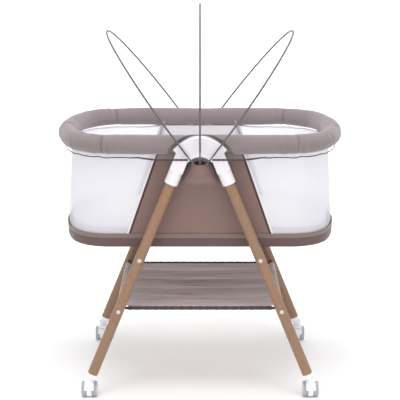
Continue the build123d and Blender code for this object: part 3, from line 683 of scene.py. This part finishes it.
cloth_foot = 0.5095
levels = np.linspace(cloth_foot, wall_top - 0.0005, 90)
panel_share = np.linspace(-1, 1, 121)
for end, hand in (("front", -1), ("rear", 1)):
    rows = []
    for height in levels:
        x = panel_share * (panel_half(height) + 0.001)
        rise = (height - cloth_foot) / (wall_top - cloth_foot)
        middle = 1 - panel_share**2
        pull = 0.0011 * np.sin(9 * panel_share + 7 * rise)
        pull = pull + 0.0009 * np.sin(26 * (rise + 0.8 * np.abs(panel_share))) * rise
        bow = 0.0016 * np.sin(math.pi * rise)
        y = hand * (wall_depth(height) - 0.0006 + (bow + 0.6 * pull) * middle)
        rows.append(np.column_stack([x, np.full(121, 1.0) * y, np.full(121, height)]))
    panel = cloth_mesh(end + "_panel_cloth", [rows], panel_material, thickness=0.0008)
    inside = [row - np.array([0, hand * 0.0022, 0]) for row in rows[9:]]
    lining = cloth_mesh(end + "_panel_lining", [inside], lining_cloth, thickness=0.0005)
    bindings = []
    for side in (-1, 1):
        centres = np.array(
            [(side * panel_half(z), hand * (wall_depth(z) + 0.0004), z) for z in levels]
        )
        ripple = 0.0003 * np.sin(levels * 700)
        bindings.append(
            tube_grid(
                centres,
                np.tile([1.0, 0, 0], (90, 1)),
                np.tile([0, hand * 1.0, 0], (90, 1)),
                np.full(90, 0.0034),
                0.0012 + ripple,
                10,
            )
        )
    binding = cloth_mesh(end + "_panel_binding", bindings, binding_cloth, (False, True))
    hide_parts(end + "_panel")
    for piece in (panel, binding, lining):
        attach(piece, "bassinet")


def netting(name, pitch, cover, tint, thread_tint, sheen=0.1):
    """White netting: thread on a fine diamond grid, with open holes between."""
    finish = Finish(name, Roughness=0.7, Sheen_Weight=sheen, Specular_IOR_Level=0.2)
    place = finish.place("UV")
    along, across, _ = finish.axes(place)
    turns = 2 * math.pi / pitch
    one = ((along + across) * (turns / 2)).sine().size()
    two = ((along - across) * (turns / 2)).sine().size()
    thread = (1 - one).larger(1 - two).ramp(0.55, 0.95)
    density = finish.noise(finish.place(), 5.0, 2.0)
    low, high = cover
    return finish.drive(
        Base_Color=finish.mix(density, tint, thread_tint),
        Alpha=low + (high - low) * thread + 0.25 * low * density,
        Normal=finish.bump(thread, 0.0002, 0.4),
    )


mesh_white = netting("mesh_white", 0.0016, (0.50, 0.90), shade(230, 229, 235), shade(218, 217, 225))
edge_tape = finished(woven("mesh_edge_tape", shade(240, 238, 240), shade(222, 219, 223), 0.0008), 0.8)
wall_levels = np.linspace(cloth_foot, wall_top - 0.0005, 40)
for side, hand in (("left", 1), ("right", -1)):
    rows, tapes = [], []
    for height in wall_levels:
        line = wall_plan(height)
        first = line.reaches(panel_half(height) + 0.0006)
        gone = np.linspace(first, line.length / 2 - first, 181)
        points, out = line.at(gone)
        rise = (height - cloth_foot) / (wall_top - cloth_foot)
        ripple = 0.0009 * np.sin(gone * 60 + 2 * rise) * (0.3 + rise)
        points = points + out * (ripple - 0.0008)[:, None]
        rows.append(np.column_stack([points[:, 0] * hand, points[:, 1], np.full(181, height)]))
    rows = np.array(rows)
    wall = cloth_mesh(side + "_mesh_end", [rows], mesh_white)
    for column in (1, -2):
        line = rows[:, column] + np.array([0, 0.0006 * np.sign(rows[0, column, 1]), 0])
        tapes.append(
            tube_grid(
                line,
                np.tile([1.0, 0, 0], (40, 1)),
                np.tile([0, 1.0, 0], (40, 1)),
                np.full(40, 0.0042),
                np.full(40, 0.0008),
                8,
            )
        )
    tape = cloth_mesh(side + "_mesh_tape", tapes, edge_tape, (False, True))
    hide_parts(side + "_mesh_wall")
    for piece in (wall, tape):
        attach(piece, "bassinet")


# Basket base ---------------------------------------------------------------------------------
# A shallow tray of dark brown cloth holds the base tube and the board. Its wall is turned over at
# the top in a lighter hem; the bottom is the same cloth, drawn tight.

band_foot = 0.484
hem_line = 0.5125
band_cloth, band_colour, band_weave = woven(
    "band_cloth", shade(116, 95, 91), shade(88, 69, 67), 0.0008, melange=0.4, sheen=0.3
)
_, _, band_up = band_cloth.axes(band_cloth.place())
band_colour = band_cloth.mix((band_up > hem_line) * 0.85, band_colour, shade(132, 114, 110))
band_material = band_cloth.drive(Base_Color=band_colour, Roughness=0.84, Normal=band_weave)

ring_share = np.linspace(0, 1, 600, endpoint=False)


def tray_ring(grow, height, waver=0.0):
    """One ring of the tray's cloth."""
    line = PlanLine(0.430 - rail_half_length + grow, 0.228 - rail_half_width + grow)
    points, out = line.at(ring_share * line.length)
    turn = ring_share * 2 * math.pi
    wave = waver * (np.sin(turn * 47) + 0.6 * np.sin(turn * 83))
    points = points + out * wave[:, None]
    return np.column_stack([points, np.full(600, height)])


tray_rows = [tray_ring(-0.004 - 0.03 * step, band_foot + 0.0004) for step in range(6, 0, -1)]
tray_rows += [tray_ring(-0.0045, band_foot + 0.0006), tray_ring(-0.0025, band_foot + 0.0016)]
profile = [(-0.0019, 0.4875), (-0.0016, 0.493), (-0.0012, 0.500), (-0.0010, 0.507), (-0.0011, 0.5110)]
profile += [(-0.0019, 0.5122), (-0.0019, 0.5128), (-0.0006, 0.5140), (-0.0003, 0.518), (-0.0003, 0.524)]
profile += [(-0.0006, 0.5268), (-0.0014, 0.5277), (-0.0022, 0.5268), (-0.0024, 0.520), (-0.0024, 0.512)]
for grow, height in profile:
    waver = 0.00022 if 0.486 < height < 0.511 else 0.0001
    tray_rows.append(tray_ring(grow, height, waver))
tray = cloth_mesh("base_tray", [tray_rows], band_material, (False, True))
bottom_rows = [tray_rows[0] * [share, share, 1.0] for share in np.linspace(0.0, 1.0, 8)[1:]]
bottom = cloth_mesh("base_bottom", [bottom_rows], band_material, (False, True))
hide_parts("base_band")
for piece in (tray, bottom):
    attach(piece, "bassinet")

board = Finish("fibreboard", Specular_IOR_Level=0.3)
chips = board.noise(board.place(), 260.0, 3.0, 0.7)
board.drive(
    Base_Color=board.mix(chips, shade(196, 176, 150), shade(160, 138, 112)),
    Roughness=0.7 + 0.1 * chips,
    Normal=board.bump(chips, 0.0002, 0.5),
)
wear(board.material, "base_board")


# Mattress ------------------------------------------------------------------------------------
# A flat foam mattress in quilted white cotton, with a corded seam round its top and bottom edge.
# It lies on the board; the quilting is stitched in diamonds.

mattress_low, mattress_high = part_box("mattress")
mattress_length = mattress_high.x
mattress_width = mattress_high.y
cotton = finished(woven("mattress_cotton", shade(238, 237, 236), shade(220, 219, 220), 0.0007), 0.82)


def mattress_ring(scale, inset, height, puff=0.0):
    """One ring of the mattress; scale shrinks it towards the middle for the flat faces."""
    line = PlanLine(
        mattress_length - rail_half_length - inset, mattress_width - rail_half_width - inset
    )
    points, _ = line.at(ring_share * line.length)
    points = points * scale
    one = np.sin((points[:, 0] + points[:, 1]) * math.pi / 0.06)
    two = np.sin((points[:, 0] - points[:, 1]) * math.pi / 0.06)
    quilt = puff * (np.minimum(np.abs(one), np.abs(two)) ** 0.5 - 1)
    return np.column_stack([points, height + quilt])


base, top = mattress_low.z, mattress_high.z
mattress_rows = [mattress_ring(s, 0.004, base + 0.0006) for s in np.linspace(0.02, 1, 6)]
mattress_rows += [
    mattress_ring(1, 0.0012, base + 0.0008),
    mattress_ring(1, 0.0006, base + 0.0024),
    mattress_ring(1, 0.0022, base + 0.0044),
    mattress_ring(1, 0.0012, base + 0.012),
    mattress_ring(1, 0.0008, base + 0.020),
    mattress_ring(1, 0.0012, base + 0.028),
    mattress_ring(1, 0.0022, top - 0.0048),
    mattress_ring(1, 0.0006, top - 0.0034),
    mattress_ring(1, 0.0012, top - 0.0018),
    mattress_ring(1, 0.0040, top - 0.0018),
    mattress_ring(1, 0.0090, top - 0.0008),
]
mattress_rows += [mattress_ring(s, 0.012, top - 0.0004, 0.0035) for s in np.linspace(0.985, 0.02, 56)]
mattress = cloth_mesh("mattress_pad", [mattress_rows], cotton, (False, True))
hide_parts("mattress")
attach(mattress, "bassinet")


# Hoop pivots ---------------------------------------------------------------------------------
# A dark boss on each swing bracket carries the three hoops on one pin; its dark colour is its own
# plastic and also painted shade for the recess inside the hub. A pouch of the panel's cloth covers
# the pin from below, drawn tight between the hub's sleeves.

# The boss's dark colour is its own plastic and also painted shade for the recess in the hub's arch.
boss = moulded("boss_plastic_and_shade", shade(70, 58, 60), shade(54, 44, 46), 0.46)
for end in ends:
    wear(boss, end + "_fan_bracket")

pouch_top, pouch_low = 0.7515, 0.678
for end, hand in (("front", -1), ("rear", 1)):
    rows = []
    for step in np.linspace(0, 1, 50):
        height = pouch_top + (pouch_low - pouch_top) * step
        half = 0.0378 / math.cos(leg_slope) + (swing_height - height) * math.tan(leg_slope)
        fall = np.clip((step - 0.45) / 0.55, 0, 1)
        front = 0.2738 - 0.0435 * fall * fall * (3 - 2 * fall)
        back = 0.2302 - 0.0012 * step
        side_share = np.linspace(-1, 1, 81)
        edge = np.abs(side_share) ** 3
        wrap = np.clip(np.cos(side_share * math.pi / 2), 0, 1) ** 0.6
        tuck = 0.0006 * np.sin(side_share * 19 + step * 9) * (1 - edge) * (0.4 + step)
        depth = back + (front - back) * wrap + tuck
        rows.append(
            np.column_stack([side_share * half, hand * depth, np.full(81, height)])
        )
    pouch = cloth_mesh(end + "_pivot_pouch", [rows], panel_material, thickness=0.0009)
    top_line = np.array(rows[0])[6:-6]
    count = len(top_line)
    hem_grid = tube_grid(
        top_line,
        np.tile([0, hand * 1.0, 0], (count, 1)),
        np.tile([0, 0, 1.0], (count, 1)),
        np.full(count, 0.0011),
        np.full(count, 0.0022),
        10,
    )
    pouch_hem = cloth_mesh(end + "_pouch_hem", [hem_grid], panel_material, (False, True))
    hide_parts(end + "_pivot_cover")
    for piece in (pouch, pouch_hem):
        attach(piece, "bassinet")


# Canopy hoops --------------------------------------------------------------------------------
# Three sprung rods in dark cloth sleeves, each with a flat knuckle on the pin at both feet. The
# side hoops lean outwards and fold up towards the middle one.

hoop_cloth, _, _ = woven(
    "hoop_sleeve", shade(104, 96, 99), shade(80, 72, 75), 0.0008, melange=0.4, sheen=0.2
)
hoop_thread = hoop_cloth.noise(hoop_cloth.place(), 1400.0, 2.0)
hoop_material = hoop_cloth.drive(
    Base_Color=hoop_cloth.mix(0.5 * hoop_thread, shade(108, 99, 102), shade(76, 68, 71)),
    Roughness=0.8,
    Normal=hoop_cloth.bump(hoop_thread, 0.0001, 0.6),
)
wear(hoop_material, "left_hoop", "right_hoop", "centre_hoop")


# Canopy net and hem --------------------------------------------------------------------------
# One very sheer white net runs over all three hoops. It dips between them, hugs the padded rail
# at both ends, and is gathered at its lower edge on a dark elastic cord that tucks under the rail.
# The net is given grey colours as painted shade, so its sheer layers show against the white studio.

hoop_tilt = math.radians(36.6)
hoop_straight, crown_radius = 0.120, 0.215
centre_reach, centre_rise = 0.2924, 0.477
side_rise = 0.489
side_reach = {"left": 0.284, "right": 0.2882}
hem_height, hem_reach, hem_tuck = 0.772, 0.289, 0.009
net_gap = 0.005


def hoop_at(reach, rise, share):
    """Depth and radius of a hoop, both from the pin, at a share of the way along it."""
    drop = hoop_straight - (rise - crown_radius)
    flank = (reach**2 + drop**2 - crown_radius**2) / (2 * (reach - crown_radius))
    centre = flank - reach
    away = math.hypot(centre, drop)
    join_y, join_z = crown_radius * centre / away, rise - crown_radius - crown_radius * drop / away
    flank_turn = math.asin((join_z - hoop_straight) / flank)
    crown_turn = math.atan2(join_y, join_z - (rise - crown_radius))
    parts = (hoop_straight - 0.050, flank * flank_turn, crown_radius * crown_turn)
    gone = (1 - abs(2 * share - 1)) * sum(parts)
    if gone < parts[0]:
        y, radius = reach, 0.050 + gone
    elif gone < parts[0] + parts[1]:
        turn = (gone - parts[0]) / flank
        y, radius = flank * math.cos(turn) - centre, hoop_straight + flank * math.sin(turn)
    else:
        turn = crown_turn - (gone - parts[0] - parts[1]) / crown_radius
        y, radius = crown_radius * math.sin(turn), rise - crown_radius + crown_radius * math.cos(turn)
    return (-y if share < 0.5 else y), radius


def leaning(y, radius, lean):
    """A point at a depth and a distance from the pin, leaning left by an angle."""
    return np.array([-radius * math.sin(lean), y, swing_height + radius * math.cos(lean)])


def through(points, count):
    """A smooth line through points, as many places from first to last."""
    points = np.asarray(points, float)
    steps = np.maximum(np.linalg.norm(np.diff(points, axis=0), axis=1), 1e-6)
    knots = np.insert(np.cumsum(steps), 0, 0)
    slopes = np.gradient(points, knots, axis=0, edge_order=1)
    places = np.linspace(0, knots[-1], count)
    found = np.clip(np.searchsorted(knots, places, side="right") - 1, 0, len(knots) - 2)
    width = (knots[found + 1] - knots[found])[:, None]
    t = ((places - knots[found])[:, None]) / width
    one, two = points[found], points[found + 1]
    a, b = slopes[found] * width, slopes[found + 1] * width
    line = (2 * t**3 - 3 * t**2 + 1) * one + (t**3 - 2 * t**2 + t) * a
    return line + (-2 * t**3 + 3 * t**2) * two + (t**3 - t**2) * b


def hem_line_left(count):
    """The hem of the left half: clear of the front hub, under the rail, and round to the rear."""
    line = PlanLine(hem_tuck, hem_tuck)
    tuck_depth = rail_half_width + hem_tuck
    first = line.reaches(0.200)
    gone = np.linspace(first, line.length / 2 - first, 200)
    under = line.at(gone)[0]
    lead = np.linspace(0.036, 0.120, 20)
    cross = np.linspace(0.120, 0.200, 40)[1:-1]
    share = (cross - 0.120) / 0.080
    depth = hem_reach + (tuck_depth - hem_reach) * share * share * (3 - 2 * share)
    x = np.concatenate([lead, cross])
    y = np.concatenate([np.full(20, hem_reach), depth])
    front = np.column_stack([-x, -y])
    rear = np.column_stack([-x, y])[::-1]
    flat = np.concatenate([front, under, rear])
    steps = np.insert(np.cumsum(np.linalg.norm(np.diff(flat, axis=0), axis=1)), 0, 0)
    places = np.linspace(0, steps[-1], count)
    x = np.interp(places, steps, flat[:, 0])
    y = np.interp(places, steps, flat[:, 1])
    waver = 0.0010 * np.sin(places * 95) + 0.0007 * np.sin(places * 161 + 1.3)
    calm = np.clip((places - 0.12) / 0.1, 0, 1) * np.clip((steps[-1] - 0.12 - places) / 0.1, 0, 1)
    return np.column_stack([x, y, hem_height + waver * calm]), places, steps[-1]


def middle_rows(reach, along_count, across_count):
    """Net between the middle hoop and the left hoop, and how far each point follows the left."""
    rows, follows = [], []
    for along in np.linspace(0.008, 0.992, along_count):
        near = hoop_at(centre_reach, centre_rise, along)
        far = hoop_at(reach, side_rise, along)
        edge = 0.0026 / (far[1] * hoop_tilt)
        row, follow = [], []
        for place in np.linspace(0, 1, across_count):
            share = edge + (1 - 2 * edge) * place
            bow = 4 * share * (1 - share) * math.sin(math.pi * along)
            fold = 0.003 * math.sin(along * 37) * bow * abs(2 * along - 1)
            y = (near[0] + (far[0] - near[0]) * share) * (1 - 0.02 * bow)
            radius = (near[1] + (far[1] - near[1]) * share) * (1 - 0.12 * bow)
            row.append(leaning(y * (1 + fold), radius, hoop_tilt * share))
            follow.append(share)
        rows.append(row)
        follows.append(follow)
    return rows, follows


def end_rows(reach, along_count, across_count):
    """Net from the left hoop over the rail's outside to the hem."""
    rows, follows = [], []
    hem, _, _ = hem_line_left(along_count)
    rail_line = PlanLine()
    gap = rail_radius + net_gap
    for step in range(along_count):
        share = step / (along_count - 1)
        side = -1 if share < 0.5 else 1
        y, radius = hoop_at(reach, side_rise, 0.14 + 0.72 * share)
        top = leaning(y, radius, hoop_tilt) + np.array([-0.0030, 0, -0.0015])
        hug = min(min(share, 1 - share) / 0.09, 1.0)
        hug = hug * hug * (3 - 2 * hug)
        place = (0.045 + 0.91 * share) * rail_line.length / 2
        flat, out = rail_line.at(np.array([place]))
        centre = np.append(flat[0], rail_height)
        away = np.append(out[0], 0.0)
        up = np.array([0, 0, 1.0])

        def beside(turn):
            angle = math.radians(turn)
            return centre + away * (gap * math.cos(angle)) + up * (gap * math.sin(angle))

        def on_hoop(distance):
            return leaning(side * (reach + 0.003), distance, hoop_tilt) + np.array([-0.005, 0, 0])

        shoulder = on_hoop(0.128) + (beside(62) - on_hoop(0.128)) * hug
        points = []
        for part in (0.0, 0.33, 0.66):
            dip = 4 * part * (1 - part) * math.sin(math.pi * share)
            points.append(top + (shoulder - top) * part + np.array([0.020 * dip, 0, -0.006 * dip]))
        points.append(shoulder)
        for distance, turn in ((0.104, 24), (0.080, -8), (0.062, -30)):
            points.append(on_hoop(distance) + (beside(turn) - on_hoop(distance)) * hug)
        points.append(hem[step] + up * 0.0025)
        line = through(points, across_count)
        ripple = np.linspace(0, 1, across_count) ** 3
        wave = 0.0014 * math.sin(share * 190) + 0.0010 * math.sin(share * 317 + 1)
        line = line + np.outer(ripple * (1 - ripple) * 4 * wave * hug, away)
        rows.append(line)
        fall = np.linspace(0, 1, across_count)
        follows.append(1 - fall * fall * (3 - 2 * fall) * max(hug, 0.15))
    return rows, follows


def hoop_sleeve(name, reach, rise, lean):
    """A snug cloth sleeve on one hoop, open just above the knuckles at both feet."""
    places = np.linspace(0.012, 0.988, 321)
    line = np.array([leaning(*hoop_at(reach, rise, place), lean) for place in places])
    across = np.array([math.cos(lean), 0, math.sin(lean)])
    ahead = np.gradient(line, axis=0)
    ahead = ahead / np.linalg.norm(ahead, axis=1)[:, None]
    out = np.cross(ahead, across)
    snug = 0.0029 + 0.0002 * np.sin(places * 410) + 0.0001 * np.sin(places * 907)
    grid = tube_grid(line, np.tile(across, (321, 1)), out, snug, snug, 12)
    return cloth_mesh(name, [grid], hoop_material, (False, True))


# Painted shade: the white net's colours are set grey so that its layers read darker than the white
# studio.
net_sheer_painted_shade = netting("net_sheer_painted_shade", 0.0019, (0.05, 0.16), shade(205, 204, 210), shade(188, 186, 196), 0.2)
elastic = finished(woven("hem_elastic", shade(96, 82, 86), shade(58, 48, 52), 0.0009, 0.4), 0.8)
for side, hand in (("left", 1), ("right", -1)):
    mirrored = np.array([hand, 1, 1])
    middle, middle_follow = middle_rows(side_reach[side], 121, 25)
    end_part, end_follow = end_rows(side_reach[side], 181, 45)
    net = cloth_mesh(
        side + "_net", [np.array(middle) * mirrored, np.array(end_part) * mirrored], net_sheer_painted_shade
    )

    sleeves = [hoop_sleeve(side + "_hoop_sleeve", side_reach[side], side_rise, hand * hoop_tilt)]
    if side == "left":
        sleeves.append(hoop_sleeve("centre_hoop_sleeve", centre_reach, centre_rise, 0.0))

    hem, gone, total = hem_line_left(361)
    hem = hem * mirrored
    ahead = np.gradient(hem, axis=0)
    ahead = ahead / np.linalg.norm(ahead, axis=1)[:, None]
    up = np.tile([0, 0, 1.0], (361, 1))
    out = np.cross(ahead, up)
    wide = np.clip((0.19 - np.minimum(gone, total - gone)) / 0.08, 0, 1)
    pucker = 0.0003 * np.sin(gone * 420) + 0.0002 * np.sin(gone * 707)
    hem_grid = tube_grid(hem, out, up, 0.0014 + 0 * wide, 0.0016 + 0.0014 * wide + pucker, 12)
    hem_piece = cloth_mesh(side + "_hem_elastic", [hem_grid], elastic, (False, True))
    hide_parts(side + "_middle_net", side + "_end_net")
    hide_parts(side + "_hem")
    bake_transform(net)
    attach(hem_piece, "bassinet")
    for sleeve, body in zip(sleeves, (side + "_hoop", "bassinet")):
        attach(sleeve, body)


# Studio --------------------------------------------------------------------------------------
# A white floor that curves up into a white wall, one broad soft lamp above and in front, two
# fills at the sides, and a camera a little above the rail.

scene = bpy.context.scene
scene.view_settings.view_transform = "Standard"
floor_finish = Finish("studio_floor", Specular_IOR_Level=0.0)
floor_grain = floor_finish.noise(floor_finish.place(), 3.0, 2.0)
floor_finish.drive(
    Base_Color=floor_finish.mix(floor_grain, (0.96, 0.96, 0.96, 1), (0.94, 0.94, 0.94, 1)),
    Roughness=0.9 + 0.05 * floor_grain,
)
sweep = []
for turn in np.linspace(0, 1, 40):
    if turn < 0.5:
        sweep.append((-4.0 + 13.0 * turn, 0.0))
    else:
        bend = (turn - 0.5) * math.pi
        sweep.append((2.5 + 2.0 * math.sin(bend), 2.0 - 2.0 * math.cos(bend)))
sweep.append((4.5, 9.0))
floor_rows = [[(x, y, z) for x in (-9.0, 0.0, 9.0)] for y, z in sweep]
floor = cloth_mesh("studio_floor", [floor_rows], floor_finish.material)

world = bpy.data.worlds.new("studio_air")
scene.world = world
world.use_nodes = True
world.node_tree.nodes["Background"].inputs[0].default_value = (1.0, 1.0, 1.0, 1)
world.node_tree.nodes["Background"].inputs[1].default_value = 0.75


def lamp(name, place, aim, size, power):
    """A square soft lamp that faces a point."""
    data = bpy.data.lights.new(name, "AREA")
    data.size = size
    data.energy = power
    made = bpy.data.objects.new(name, data)
    scene.collection.objects.link(made)
    made.location = place
    toward = [b - a for a, b in zip(place, aim)]
    made.rotation_euler = Vector(toward).to_track_quat("-Z", "Y").to_euler()
    return made


lamp("overhead", (0.0, -0.6, 3.6), (0, 0, 0.5), 2.6, 70)
lamp("front_left", (-2.6, -3.0, 2.2), (0, 0, 0.6), 1.8, 26)
lamp("front_right", (2.8, -2.6, 1.8), (0, 0, 0.6), 1.8, 22)
lamp("wall_wash", (0.0, 1.8, 3.0), (0, 4.4, 1.6), 2.6, 90)

camera_data = bpy.data.cameras.new("camera")
camera_data.sensor_width = 36.0
camera_data.lens = 99.06
camera = bpy.data.objects.new("camera", camera_data)
scene.collection.objects.link(camera)
camera.location = (0.0, -3.48, 1.4537)
camera.rotation_euler = (math.radians(75.86), 0, 0)
scene.camera = camera
